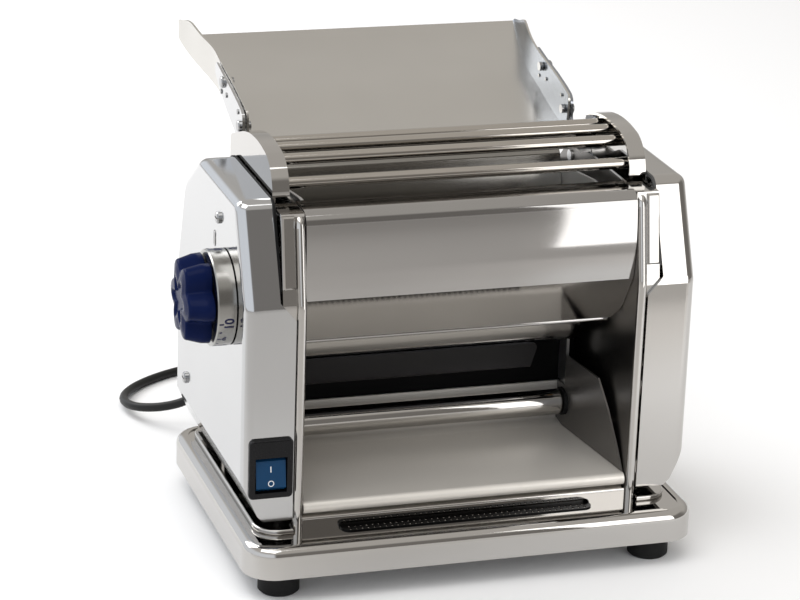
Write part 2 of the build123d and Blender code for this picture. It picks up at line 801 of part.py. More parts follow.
def adjusting_cam():
    """Spiral cam: its radius grows evenly by the roller's travel over the dial's whole turn."""
    samples = 24
    growth = roller_travel / dial_turn
    points = []
    for i in range(samples + 1):
        turned = dial_turn * i / samples
        angle = radians(nip_angle - turned)
        radius = cam_radius + growth * turned
        points.append((radius * cos(angle), radius * sin(angle)))
    start = (cam_radius * cos(radians(nip_angle + 28)), cam_radius * sin(radians(nip_angle + 28)))
    spiral = Spline(*points)
    closing = Line(spiral @ 1, start)
    lead = ThreePointArc(start, (cam_radius * cos(radians(nip_angle + 14)),
                                 cam_radius * sin(radians(nip_angle + 14))), spiral @ 0)
    face = make_face([spiral, closing, lead]) - Circle(dial_shaft_radius)
    return side_block(Pos(front_axis_y, front_axis_z) * face, cam_right() - 5, cam_right())


# ---------------------------------------------------------------- hopper
def cheek():
    """Right side wall of the dough space, open round both roller shafts."""
    points = [(9, 86), (22.5, 86), (22.5, 119), (33, 126), (38, 150), (37, 234), (-20, 241), (-40, 241),
              (-46, 228), (-52, 214), (-62, 200), (-61, 180), (-44, 164), (-22, 146), (9, 124)]
    face = rounded_outline(points, [0, 0, 3, 3, 8, 5, 0, 4, 4, 4, 8, 8, 4, 8, 3])
    face -= Pos(rear_axis_y, rear_axis_z) * Circle(shaft_radius + 2)
    for step in (0, roller_travel / 2, roller_travel):
        place = Pos(front_axis_y + step * nip_y, front_axis_z + step * nip_z)
        face -= place * Circle(shaft_radius + 2)
    return side_block(face, cheek_inner, cheek_inner + cheek_sheet)


def cheek_pegs():
    """Pegs that hang the cheeks on the frame webs."""
    pegs = []
    for y, z in ((-56, 206), (30, 222), (30, 128)):
        peg = round_bar(y, z, 3.5, cheek_inner + cheek_sheet, web_inner)
        pegs += [peg, mirror_x(peg)]
    return group(pegs)


def rear_guide():
    """Sheet that leads the dough from the tray down to the rear roller."""
    points = [(hinge_y - 2, hinge_z + 7.2), (hinge_y - 9, hinge_z + 6.4), (33, 214), (30.5, 184)]
    section = folded_sheet(points, [4, 12], panel_sheet)
    return side_block(section, -cheek_inner + seat, cheek_inner - seat)


def front_guide():
    """Sheet that leads the dough from the front flange down to the front roller."""
    points = [(-43.6, panel_top - 1.5), (-43.6, 240), (-36, 217)]
    section = folded_sheet(points, [6], panel_sheet)
    return side_block(section, -cheek_inner + seat, cheek_inner - seat)


def guard_outline():
    """Side view of a guard end plate; its upper front edge is one round shoulder."""
    front = Line((-47, 240), (-47, 250))
    shoulder = ThreePointArc(front @ 1, (-40.6, 267.2), (-26, 274.8))
    crown = ThreePointArc(shoulder @ 1, (2, 276.8), (30, 271.8))
    back = Line(crown @ 1, (60, 261.5))
    foot = Polyline(back @ 1, (60, 233), (53, 228), (40, 229), (28, 239), (-20, 238), (-47, 240))
    face = make_face([front, shoulder, crown, back, foot])
    for point, radius in (((60, 261.5), 6), ((60, 233), 5), ((53, 228), 5), ((40, 229), 6), ((28, 239), 8)):
        face = fillet(nearest(face, point), radius)
    return face


def right_guard_plate():
    """Guard end plate with an inward flange along its top and front edge."""
    outer_face = guard_outline()
    plate = side_block(outer_face - Pos(hinge_y, hinge_z) * Circle(hinge_pin_radius + running),
                       guard_outer - guard_sheet, guard_outer)
    band = outer_face - offset(outer_face, amount=-1.6)
    band &= Pos(-10, 276) * Rectangle(108, 50)
    flange = side_block(band, guard_outer - guard_flange, guard_outer)
    return plate + flange


def guard_rod_places():
    return [(13, 268.6), (-5, 270.0), (-20, 267.0), (-37, 256.6)]


def guard_rods():
    """Polished guard rods between the end plates."""
    half = guard_outer - guard_sheet
    return group([round_bar(y, z, guard_rod_radius, -half, half) for y, z in guard_rod_places()])


def hinge_pins():
    """Shouldered pins on the webs that the guard plates turn on."""
    tip = guard_outer + 0.6
    pin = round_bar(hinge_y, hinge_z, hinge_pin_radius, web_inner - 1.5, tip)
    pin += round_bar(hinge_y, hinge_z, hinge_pin_radius + 2.6, web_outer, guard_outer - guard_sheet - 0.3)
    pin += round_bar(hinge_y, hinge_z, hinge_pin_radius + 0.8, web_inner - 1.5, web_inner)
    return group([pin, mirror_x(pin)])


def tray_stations():
    """Stations back along the tray: place, floor height, spread of the bends, then each wing tip's
    lean and height, right and left. The left wing's rear corner stands higher than the right one's."""
    return [(46, 246.6, 0, 0.7, 268, 0.7, 268), (62, 249.5, 0, 0.8, 273, 0.8, 273),
            (78, 252.6, 0, 0.9, 277.6, 0.9, 277.6), (97, 257.0, 0, 0.9, 282.2, 0.9, 282.2),
            (121, 264.2, 0, 0.9, 286.6, 0.9, 286.6), (141, 269.2, 0.3, 1.0, 291.2, 1.0, 291.2),
            (160, 273.0, 2.3, 1.2, 296.2, 1.2, 296.4), (175, 276.1, 4.9, 1.6, 298.0, 1.6, 299.6),
            (190, 279.6, 7.5, 2.5, 294.8, 0.8, 302.6), (202, 283.4, 9.7, 2.2, 291.6, 0.2, 302.0),
            (tray_back, 288.3, 11.7, 1.4, 289.6, 0.2, 299.6)]


def wing_line(x, floor, lean, tip_z):
    """Inner bend and tip of a right wing with the matching outer points."""
    t = tray_sheet_thickness
    tilt = atan2(lean, tip_z - floor)
    dx = t * cos(tilt)
    dz = -t * sin(tilt)
    return [(x, floor), (x + lean, tip_z), (x + lean + dx, tip_z + dz), (x + dx, floor - t)]


def tray_section(station):
    """Cross-section of the tray: a floor between two upturned wings."""
    y, floor, spread, right_lean, right_tip, left_lean, left_tip = station
    x = tray_half_width + spread
    right = wing_line(x, floor, right_lean, right_tip)
    left = [(-px, pz) for px, pz in reversed(wing_line(x, floor, left_lean, left_tip))]
    plane = Plane(origin=(0, y, 0), x_dir=(1, 0, 0), z_dir=(0, -1, 0))
    return plane * make_face(Polyline(*(left + right), close=True))


def tray_sheet():
    """Dough tray: one sheet that sweeps up to the back, its wings cut square in front and bored."""
    sheet = loft([tray_section(s) for s in tray_stations()])
    corner = rounded_outline([(30, 255), (64.5, 255), (64.5, 274.6), (78, 278.6), (78, 300), (30, 300)],
                             [0, 0, 7, 0, 0, 0])
    sheet -= side_block(corner, -tray_half_width - 20, tray_half_width + 20)
    reach = bracket_outer + 5
    for y, z in tray_screw_places():
        sheet -= round_bar(y, z, tray_screw_radius + 0.1, -reach, reach)
    for y, z in tray_rivet_places():
        sheet -= round_bar(y, z, tray_rivet_radius + 0.1, -reach, reach)
    return sheet


def right_tray_bracket():
    """Plate outside the tray's wing, carried by the guard plate through two bosses."""
    points = [(44, 245.6), (44, 256), (65, 256), (65, 272.4), (78, 276.4), (97, 281), (121, 285.4), (138.5, 289.3),
              (141, 282), (128, 273), (108, 264), (84, 255), (62, 246.4)]
    face = rounded_outline(points, [3, 3, 3, 8, 20, 0, 0, 3, 5, 10, 0, 10, 4])
    bracket = side_block(face, bracket_inner, bracket_outer)
    for y, z in ((50, 251), (59, 252.4)):
        bracket += round_bar(y, z, 3.4, bracket_inner, guard_outer - guard_sheet)
    for y, z in tray_screw_places():
        bracket -= round_bar(y, z, tray_screw_radius + 0.1, bracket_inner - 1, bracket_outer + 1)
    for y, z in tray_rivet_places():
        bracket -= round_bar(y, z, tray_rivet_radius + 0.1, bracket_inner - 1, bracket_outer + 1)
    return bracket


def tray_screw_places():
    return [(117.5, 280.3), (71, 263)]


def tray_rivet_places():
    return [(77, 271), (108.3, 273.6), (122, 272.6)]


def tray_screws():
    """Screws with nuts and small rivets that fix the tray's wings to the brackets."""
    inner = tray_half_width + 0.1
    fixings = []
    for y, z in tray_screw_places():
        head = round_bar(y, z, 4.0, bracket_outer, bracket_outer + 2)
        head = chamfer(head.faces().sort_by(Axis.X)[-1].edges(), 0.7)
        nut = round_bar(y, z, 3.1, inner - 2.2, inner)
        fixings.append(head + nut + round_bar(y, z, tray_screw_radius, inner, bracket_outer))
    for y, z in tray_rivet_places():
        rivet = round_bar(y, z, tray_rivet_radius, inner - 0.5, bracket_outer)
        fixings.append(rivet + round_bar(y, z, tray_rivet_radius + 0.6, bracket_outer, bracket_outer + 0.7))
    return group(fixings + [mirror_x(f) for f in fixings])


# ---------------------------------------------------------------- switch
def switch_place():
    return Pos(switch_left + switch_width / 2, casing_front, switch_bottom + switch_height / 2)


def switch_frame():
    """Raised black surround of the rocker, with its body behind the casing."""
    depth = switch_rise
    plate = Pos(0, -depth / 2, 0) * Box(switch_width, depth, switch_height)
    plate = fillet(plate.edges().filter_by(Axis.Y), 3)
    plate = fillet(plate.faces().sort_by(Axis.Y)[0].edges(), 1.4)
    body = Pos(0, 10, 0) * Box(switch_width - 3.6, 20, switch_height - 5.6)
    rocker_z = rocker_centre_z() - switch_bottom - switch_height / 2
    well = Pos(0, 0, rocker_z) * Box(rocker_width + 0.8, 14, rocker_height + 0.8)
    return switch_place() * (plate + body - well)


def rocker_centre_z():
    return switch_bottom + switch_height / 2 - 4.0


def switch_rocker():
    """Rocker with two flat faces that meet at its pivot line, resting on its lower side."""
    half = rocker_height / 2 - 0.6
    rise = 3.6
    face = outline((-half * 0.82, 2.6), (half * 0.82, 2.6), (half, -0.4), (half, -rise + 1.2), (0, -rise + 2.2),
                   (-half, -rise + 1.2), (-half, -0.4))
    rocker = extrude(Plane.YZ * Rot(0, 0, 90) * face, amount=rocker_width / 2 - 0.3, both=True)
    rocker += Rot(0, 90, 0) * Cylinder(1.2, rocker_width + 0.6)
    place = Pos(switch_left + switch_width / 2, casing_front + 0.4, rocker_centre_z())
    return place * Rot(-rocker_tilt, 0, 0) * rocker


# ---------------------------------------------------------------- cord
def gland_face():
    return frame_back + seat + panel_sheet


def relief_end():
    return gland_face() + relief_length


def cable_gland():
    """Gland nut in the rear panel with a tapered strain relief that points backwards."""
    profile = outline((0, -8), (6, -8), (6, 0), (9, 0), (9, 5), (6.6, 7), (cord_radius + 1.2, relief_length),
                      (0, relief_length))
    return Pos(gland_x, gland_face(), gland_z) * revolve(profile, axis=Axis.Y)


def coil_centre():
    return 10.0, base_depth / 2 + coil_radius + 2 * cord_radius + 12


def cord_route():
    """The lead's route: down from the strain relief, round a loose loop on the bench, to the coil."""
    start = relief_end()
    coil_x, coil_y = coil_centre()
    side = coil_x + coil_radius + 2 * cord_radius
    lying = cord_radius
    return [(gland_x, start, gland_z), (gland_x, start + 31, gland_z), (-103, 184, 40), (-119, 191, 22),
            (-138, 199, 15), (-155, 215, 10.5), (-158.5, 241, 6.5), (-148, 266, 4), (-127, 286, lying),
            (-101, 300, lying), (-68, 308, lying), (-32, 306, lying), (3, 294, lying), (32, 270, lying),
            (49.5, 238, lying), (side, coil_y + 36, lying), (side, coil_y, lying)]


def corner_radii(points):
    """The largest tangent arc that each corner of a route allows."""
    radii = []
    for before, corner, after in zip(points, points[1:], points[2:]):
        inward = Vector(*corner) - Vector(*before)
        outward = Vector(*after) - Vector(*corner)
        half_turn = radians(inward.get_angle(outward)) / 2
        radii.append(0.45 * min(inward.length, outward.length) / tan(half_turn))
    return radii


def cord_lead():
    """The part of the lead that isn't coiled."""
    points = cord_route()
    radii = corner_radii(points)
    print("cord radii", [round(r) for r in radii])
    path = FilletPolyline(*points, radius=radii)
    print("cord lead length", round(path.length))
    along = Vector(*points[1]) - Vector(*points[0])
    tube_solid = sweep(Plane(origin=points[0], z_dir=along) * Circle(cord_radius), path=path)
    print("cord volume share", round(tube_solid.volume / (pi * cord_radius ** 2 * path.length), 3))
    return (tube_solid - cord_coil()).solids().sort_by(SortBy.VOLUME)[-1]


def cord_coil():
    """The put-away length, wound three turns wide and two high."""
    coil_x, coil_y = coil_centre()
    section = Pos(coil_radius, 2 * cord_radius) * RectangleRounded(6 * cord_radius, 4 * cord_radius, cord_radius)
    return Pos(coil_x, coil_y, 0) * revolve(Plane.XZ * section, axis=Axis.Z)


def mains_plug():
    """Moulded plug with three pins in a row and a tapered tail, lying beside the coil."""
    coil_x, coil_y = coil_centre()
    height = 3 * cord_radius
    tail = revolve(outline((0, 0), (cord_radius + 0.8, 0), (cord_radius + 2.4, plug_tail), (0, plug_tail)),
                   axis=Axis.Y)
    body = Pos(0, plug_tail + plug_length / 2, 0) * Box(plug_width, plug_length, 2 * height)
    body = fillet(body.edges().filter_by(Axis.Y), 5)
    body = fillet(body.faces().sort_by(Axis.Y)[0].edges(), 4)
    plug = tail + body
    for x in (-plug_pin_pitch, 0, plug_pin_pitch):
        pin = Rot(-90, 0, 0) * Cylinder(2, 19, align=(Align.CENTER, Align.CENTER, Align.MIN))
        plug += Pos(x, plug_tail + plug_length, 0) * pin
    place = Pos(coil_x - coil_radius - 2 * cord_radius, coil_y + coil_radius * 0.35, height)
    return (place * plug - cord_coil()).solids().sort_by(SortBy.VOLUME)[-1]


pieces = {
    "base_tray": base_tray,
    "feet": feet,
    "foot_screws": foot_screws,
    "bottom_plate": bottom_plate,
    "right_side_frame": right_side_frame,
    "left_side_frame": lambda: mirror_x(right_side_frame()),
    "tie_rods": tie_rods,
    "right_casing": right_casing,
    "left_casing": left_casing,
    "right_edge_seal": edge_seal,
    "left_edge_seal": lambda: mirror_x(edge_seal()),
    "casing_standoffs": casing_standoffs,
    "casing_screws": casing_screws,
    "front_panel": front_panel,
    "rear_panel": rear_panel,
    "front_sill": front_sill,
    "vent_grille": vent_grille,
    "chute_plate": chute_plate,
    "guide_bar": guide_bar,
    "guide_bar_caps": guide_bar_caps,
    "side_liners": side_liners,
    "inner_cover": inner_cover,
    "rear_roller": rear_roller,
    "front_roller": front_roller,
    "rear_roller_gear": lambda: roller_gear(rear_axis_y, rear_axis_z, nip_angle),
    "front_roller_gear": lambda: roller_gear(front_axis_y, front_axis_z,
                                             nip_angle + 180 + 180 / roller_teeth),
    "drive_gear": drive_gear,
    "motor_pinion": motor_pinion,
    "rear_roller_bushes": rear_roller_bushes,
    "bearing_blocks": bearing_blocks,
    "block_guides": block_guides,
    "rear_scraper": rear_scraper,
    "front_scraper": front_scraper,
    "gear_motor": gear_motor,
    "motor_bracket": motor_bracket,
    "run_capacitor": run_capacitor,
    "thickness_knob": thickness_knob,
    "dial_collar": dial_collar,
    "dial_shaft": dial_shaft,
    "dial_bush": dial_bush,
    "adjusting_cam": adjusting_cam,
    "right_cheek": cheek,
    "left_cheek": lambda: mirror_x(cheek()),
    "cheek_pegs": cheek_pegs,
    "rear_guide": rear_guide,
    "front_guide": front_guide,
    "right_guard_plate": right_guard_plate,
    "left_guard_plate": lambda: mirror_x(right_guard_plate()),
    "guard_rods": guard_rods,
    "hinge_pins": hinge_pins,
    "tray_sheet": tray_sheet,
    "right_tray_bracket": right_tray_bracket,
    "left_tray_bracket": lambda: mirror_x(right_tray_bracket()),
    "tray_screws": tray_screws,
    "switch_frame": switch_frame,
    "switch_rocker": switch_rocker,
    "cable_gland": cable_gland,
    "cord_lead": cord_lead,
    "cord_coil": cord_coil,
    "mains_plug": mains_plug,
}
os.makedirs("parts", exist_ok=True)
for name, make in pieces.items():
    shape = Pos(-overall_middle_x, -overall_middle_y, 0) * make()
    export_step(shape, f"parts/{name}.step")
    print(name, len(shape.solids()), round(shape.volume))
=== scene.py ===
"""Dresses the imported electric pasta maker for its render: camera, light, materials and fine pieces.

Lengths are metres in the CAD frame. Sizes that start from the middle of the base are moved by
middle_shift, as the CAD moves them.
"""
from math import cos, pi, radians, sin

import bmesh
import bpy
from mathutils import Matrix, Vector


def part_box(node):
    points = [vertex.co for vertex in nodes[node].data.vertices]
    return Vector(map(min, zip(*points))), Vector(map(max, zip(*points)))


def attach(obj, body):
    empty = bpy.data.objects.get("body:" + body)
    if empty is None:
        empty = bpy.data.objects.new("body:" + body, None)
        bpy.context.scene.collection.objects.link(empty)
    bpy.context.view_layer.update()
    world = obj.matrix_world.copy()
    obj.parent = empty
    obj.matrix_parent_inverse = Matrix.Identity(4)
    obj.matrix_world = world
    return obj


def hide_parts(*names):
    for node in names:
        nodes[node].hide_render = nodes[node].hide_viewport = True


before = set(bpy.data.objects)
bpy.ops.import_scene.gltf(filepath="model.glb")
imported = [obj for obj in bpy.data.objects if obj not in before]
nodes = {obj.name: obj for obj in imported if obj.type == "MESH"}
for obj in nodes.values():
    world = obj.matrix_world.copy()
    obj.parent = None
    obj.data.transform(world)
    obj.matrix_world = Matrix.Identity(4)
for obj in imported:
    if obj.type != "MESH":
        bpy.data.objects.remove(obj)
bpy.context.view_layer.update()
scene = bpy.context.scene

middle_shift = Vector((0.0146, -0.0515, 0.0))
cord_radius = 0.0032
coil_middle = Vector((0.010, 0.1654, 0.0)) + middle_shift
coil_radius = 0.037


def place(x, y, z):
    """A point given from the middle of the base, in the CAD frame."""
    return Vector((x, y, z)) + middle_shift


# ---------------------------------------------------------------- camera
camera_yaw = radians(17.92)
camera_pitch = radians(19.57)
camera_roll = radians(2.03)
camera_place = place(-0.5979, -1.7749, 0.8221)
camera_lens = 135.06


def make_camera():
    forward = Vector((sin(camera_yaw) * cos(camera_pitch), cos(camera_yaw) * cos(camera_pitch),
                      -sin(camera_pitch)))
    level = Vector((cos(camera_yaw), -sin(camera_yaw), 0))
    upright = level.cross(forward)
    right = level * cos(camera_roll) + upright * sin(camera_roll)
    up = upright * cos(camera_roll) - level * sin(camera_roll)
    data = bpy.data.cameras.new("camera")
    data.sensor_width = 36
    data.lens = camera_lens
    camera = bpy.data.objects.new("camera", data)
    turn = Matrix((right, up, -forward)).transposed().to_4x4()
    camera.matrix_world = Matrix.Translation(camera_place) @ turn
    scene.collection.objects.link(camera)
    scene.camera = camera


make_camera()


# ---------------------------------------------------------------- materials
cloud_scale = 17.0
cloud_shade = 0.92
face_margin = 0.0004


def new_material(name):
    """A material, its node tree and its shader."""
    material = bpy.data.materials.new(name)
    material.use_nodes = True
    tree = material.node_tree
    shader = tree.nodes["Principled BSDF"]
    return material, tree, shader


def object_coordinates(tree, stretch=(1, 1, 1)):
    coordinates = tree.nodes.new("ShaderNodeTexCoord")
    mapping = tree.nodes.new("ShaderNodeMapping")
    mapping.inputs["Scale"].default_value = stretch
    tree.links.new(coordinates.outputs["Object"], mapping.inputs["Vector"])
    return mapping.outputs["Vector"]


def noise(tree, vector, scale, detail=3.0):
    texture = tree.nodes.new("ShaderNodeTexNoise")
    texture.inputs["Scale"].default_value = scale
    texture.inputs["Detail"].default_value = detail
    tree.links.new(vector, texture.inputs["Vector"])
    return texture.outputs["Fac"]


def spread(tree, value, low, high):
    """Maps a texture's middle range to low..high."""
    ranged = tree.nodes.new("ShaderNodeMapRange")
    ranged.inputs["From Min"].default_value = 0.3
    ranged.inputs["From Max"].default_value = 0.7
    ranged.inputs["To Min"].default_value = low
    ranged.inputs["To Max"].default_value = high
    tree.links.new(value, ranged.inputs["Value"])
    return ranged.outputs["Result"]


def ranged_value(tree, value, low, high):
    """Eases from 0 where the value is low to 1 where it is high."""
    ranged = tree.nodes.new("ShaderNodeMapRange")
    ranged.interpolation_type = "SMOOTHSTEP"
    ranged.inputs["From Min"].default_value = low
    ranged.inputs["From Max"].default_value = high
    tree.links.new(value, ranged.inputs["Value"])
    return ranged.outputs["Result"]


def combined(tree, operation, *terms):
    """Sockets and numbers put together by one operation."""
    node = tree.nodes.new("ShaderNodeMath")
    node.operation = operation
    for socket, term in zip(node.inputs, terms):
        if isinstance(term, float):
            socket.default_value = term
        else:
            tree.links.new(term, socket)
    return node.outputs["Value"]


def mixed(tree, factor, first, second):
    """A blend of two colours, each a socket or a constant."""
    mix = tree.nodes.new("ShaderNodeMix")
    mix.data_type = "RGBA"
    tree.links.new(factor, mix.inputs["Factor"])
    for socket, colour in (("A", first), ("B", second)):
        if isinstance(colour, tuple):
            mix.inputs[socket].default_value = (*colour, 1)
        else:
            tree.links.new(colour, mix.inputs[socket])
    return mix.outputs["Result"]


def split_coordinates(tree, output):
    """The x, y and z of one kind of the surface's coordinates."""
    coordinates = tree.nodes.new("ShaderNodeTexCoord")
    split = tree.nodes.new("ShaderNodeSeparateXYZ")
    tree.links.new(coordinates.outputs[output], split.inputs["Vector"])
    return [split.outputs[axis] for axis in "XYZ"]


def bump(tree, shader, height, strength, distance):
    node = tree.nodes.new("ShaderNodeBump")
    node.inputs["Strength"].default_value = strength
    node.inputs["Distance"].default_value = distance
    tree.links.new(height, node.inputs["Height"])
    tree.links.new(node.outputs["Normal"], shader.inputs["Normal"])


def metal(name, colour, roughness, variation=0.03, stretch=(1, 1, 1), grain=900.0, relief=0.0,
          metallic=1.0):
    """Polished or brushed metal, cloudy where hands have wiped it, with its grain along one axis."""
    material, tree, shader = new_material(name)
    shader.inputs["Metallic"].default_value = metallic
    vector = object_coordinates(tree, stretch)
    fine = noise(tree, vector, grain, 4)
    cloudy = noise(tree, object_coordinates(tree), cloud_scale, 3)
    darker = tuple(cloud_shade * c for c in colour)
    tree.links.new(mixed(tree, cloudy, darker, colour), shader.inputs["Base Color"])
    grain_roughness = spread(tree, fine, roughness - variation, roughness + variation / 2)
    worn = combined(tree, "MULTIPLY_ADD", cloudy, variation, grain_roughness)
    tree.links.new(worn, shader.inputs["Roughness"])
    if relief:
        bump(tree, shader, fine, relief, 0.0002)
    return material


def flange_painted_reflection(material, colour):
    """Paints a reflection onto a metal: another colour on the faces that look to the left, right of the
    middle.
    """
    tree = material.node_tree
    shader = tree.nodes["Principled BSDF"]
    right_half = combined(tree, "GREATER_THAN", split_coordinates(tree, "Object")[0], middle_shift.x)
    facing_left = combined(tree, "LESS_THAN", split_coordinates(tree, "Normal")[0], -0.25)
    both = combined(tree, "MULTIPLY", right_half, facing_left)
    own_colour = shader.inputs["Base Color"].links[0].from_socket
    tree.links.new(mixed(tree, both, own_colour, colour), shader.inputs["Base Color"])
    return material


def web_metal(name, colour, roughness, inner_shade_colour, inner_roughness, variation=0.03):
    """Polished metal whose faces towards the delivery space are satin and painted dark, a painted shade for
    the space inside the machine.
    """
    material, tree, shader = new_material(name)
    across = split_coordinates(tree, "Object")[0]
    aside = combined(tree, "ABSOLUTE", combined(tree, "SUBTRACT", across, middle_shift.x))
    inner_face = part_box("right_side_frame")[0][0] - middle_shift.x
    outer = combined(tree, "GREATER_THAN", aside, inner_face + face_margin)
    # The faces towards the delivery space get the dark colour: painted shade.
    tree.links.new(mixed(tree, outer, inner_shade_colour, colour), shader.inputs["Base Color"])
    ranged = tree.nodes.new("ShaderNodeMapRange")
    ranged.inputs["To Min"].default_value = inner_roughness
    ranged.inputs["To Max"].default_value = roughness
    tree.links.new(outer, ranged.inputs["Value"])
    cloudy = noise(tree, object_coordinates(tree), cloud_scale, 3)
    worn = combined(tree, "MULTIPLY_ADD", cloudy, variation, ranged.outputs["Result"])
    tree.links.new(worn, shader.inputs["Roughness"])
    shader.inputs["Metallic"].default_value = 1.0
    return material


def plastic(name, colour, roughness, grain=2500.0, relief=0.15, coat=0.0, gloss=0.3):
    """Moulded plastic or rubber with a fine surface grain."""
    material, tree, shader = new_material(name)
    vector = object_coordinates(tree)
    fine = noise(tree, vector, grain, 2)
    cloudy = noise(tree, vector, 60.0, 2)
    lighter = tuple(min(1.0, 1.25 * c + 0.002) for c in colour)
    tree.links.new(mixed(tree, cloudy, colour, lighter), shader.inputs["Base Color"])
    tree.links.new(spread(tree, fine, roughness - 0.04, roughness + 0.04), shader.inputs["Roughness"])
    shader.inputs["Specular IOR Level"].default_value = gloss
    shader.inputs["Coat Weight"].default_value = coat
    shader.inputs["Coat Roughness"].default_value = 0.08
    bump(tree, shader, fine, relief, 0.0001)
    return material


mirror_steel = metal("mirror_steel", (0.52, 0.505, 0.485), 0.05, 0.02)
panel_steel = metal("panel_steel", (0.42, 0.41, 0.40), 0.07, 0.025)
# The tray sheet's right flange gets a darker bluish painted reflection on its inner face.
tray_steel = flange_painted_reflection(metal("tray_steel", (0.60, 0.585, 0.555), 0.24, 0.008, (1, 30, 30), 300),
                        (0.21, 0.226, 0.25))
side_steel = metal("side_steel", (0.55, 0.553, 0.557), 0.10, 0.02)
rod_steel = metal("rod_steel", (0.50, 0.47, 0.43), 0.1, 0.01, (1, 20, 20), 300)
# A darker, bluish copy of the left bracket's steel for the right tray bracket: a painted reflection.
wing_painted_reflection_steel = metal("wing_painted_reflection_steel", (0.34, 0.355, 0.385), 0.2, 0.01)
chute_steel = metal("chute_steel", (0.78, 0.745, 0.69), 0.3, 0.006, grain=80.0, metallic=0.3)
liner_steel = metal("liner_steel", (0.17, 0.16, 0.15), 0.28, 0.01, grain=80.0, metallic=0.7)
web_steel = web_metal("web_steel", (0.52, 0.505, 0.485), 0.06, (0.17, 0.16, 0.15), 0.28)
satin_steel = metal("satin_steel", (0.6, 0.6, 0.6), 0.32, 0.06, (1, 40, 40), 300, 0.1)
# Near-black steel for the rear panel, air strip and blocks inside the machine: painted shade.
shade_steel = metal("shade_steel", (0.012, 0.012, 0.013), 0.3, 0.02)
guide_steel = metal("guide_steel", (0.30, 0.29, 0.27), 0.14, 0.01, grain=80.0)
roller_steel = metal("roller_steel", (0.50, 0.49, 0.48), 0.13, 0.01, grain=80.0)
dark_steel = metal("dark_steel", (0.05, 0.05, 0.055), 0.35, 0.06)
screw_steel = metal("screw_steel", (0.34, 0.34, 0.34), 0.15, 0.02)
bronze = metal("bronze", (0.5, 0.33, 0.17), 0.35, 0.05)
nylon = plastic("nylon", (0.66, 0.63, 0.55), 0.45)
rubber = plastic("rubber", (0.008, 0.008, 0.008), 0.6, gloss=0.15)
grey_rubber = plastic("grey_rubber", (0.06, 0.06, 0.06), 0.5, gloss=0.2)
black_plastic = plastic("black_plastic", (0.003, 0.003, 0.0035), 0.3, gloss=0.15)
switch_black = plastic("switch_black", (0.004, 0.004, 0.005), 0.28, gloss=0.22)
cover_black = plastic("cover_black", (0.002, 0.002, 0.0022), 0.5, gloss=0.04)
black_enamel = plastic("black_enamel", (0.015, 0.015, 0.016), 0.45)
navy_plastic = plastic("navy_plastic", (0.0035, 0.0085, 0.046), 0.2, relief=0.05, gloss=0.04)
rocker_blue = plastic("rocker_blue", (0.004, 0.040, 0.105), 0.2, gloss=0.2)
collar_satin = metal("collar_satin", (0.34, 0.335, 0.32), 0.2, 0.02)
cord_black = plastic("cord_black", (0.008, 0.008, 0.008), 0.45, gloss=0.25)
# Bright steel for the domes in the air strip's holes: painted glints.
painted_glint_steel = metal("painted_glint_steel", (0.78, 0.73, 0.66), 0.35, 0.03, metallic=0.4)
print_navy = plastic("print_navy", (0.006, 0.008, 0.045), 0.4)
print_white = plastic("print_white", (0.80, 0.84, 0.86), 0.4)

node_materials = {
    mirror_steel: ["right_casing", "base_tray", "bottom_plate", "guide_bar", "front_sill",
                   "right_guard_plate", "left_guard_plate"],
    panel_steel: ["front_panel"],
    web_steel: ["right_side_frame", "left_side_frame"],
    side_steel: ["left_casing", "left_tray_bracket"],
    wing_painted_reflection_steel: ["right_tray_bracket"],
    tray_steel: ["tray_sheet"],
    rod_steel: ["guard_rods"],
    chute_steel: ["chute_plate"],
    liner_steel: ["side_liners"],
    guide_steel: ["front_guide", "rear_guide"],
    shade_steel: ["rear_panel", "vent_grille", "block_guides", "bearing_blocks"],
    satin_steel: ["tie_rods", "casing_standoffs", "cheek_pegs", "hinge_pins", "motor_bracket", "dial_shaft",
                  "adjusting_cam", "right_cheek", "left_cheek", "motor_pinion"],
    roller_steel: ["rear_roller", "front_roller"],
    dark_steel: ["rear_scraper", "front_scraper"],
    screw_steel: ["foot_screws", "casing_screws", "tray_screws"],
    nylon: ["rear_roller_gear", "front_roller_gear", "drive_gear"],
    bronze: ["rear_roller_bushes", "dial_bush"],
    rubber: ["feet", "left_edge_seal", "guide_bar_caps"],
    grey_rubber: ["right_edge_seal"],
    cover_black: ["inner_cover"],
    black_plastic: ["cable_gland", "run_capacitor", "mains_plug"],
    switch_black: ["switch_frame"],
    black_enamel: ["gear_motor"],
    navy_plastic: ["thickness_knob"],
    collar_satin: ["dial_collar"],
    rocker_blue: ["switch_rocker"],
}
for material, names in node_materials.items():
    for name in names:
        mesh = nodes[name].data
        mesh.materials.clear()
        mesh.materials.append(material)


# ---------------------------------------------------------------- the lead
def lead_route():
    """The lead's free stretch, as the CAD has it."""
    side = coil_middle.x - middle_shift.x + coil_radius + 2 * cord_radius
    coil_y = coil_middle.y - middle_shift.y
    lying = cord_radius
    return [place(-0.092, 0.1318, 0.078), place(-0.092, 0.1628, 0.078), place(-0.103, 0.184, 0.040),
            place(-0.119, 0.191, 0.022), place(-0.138, 0.199, 0.015), place(-0.155, 0.215, 0.0105),
            place(-0.1585, 0.241, 0.0065), place(-0.148, 0.266, 0.004), place(-0.127, 0.286, lying),
            place(-0.101, 0.300, lying), place(-0.068, 0.308, lying), place(-0.032, 0.306, lying),
            place(0.003, 0.294, lying), place(0.032, 0.270, lying), place(0.0495, 0.238, lying),
            place(side, coil_y + 0.036, lying), place(side, coil_y, lying)]


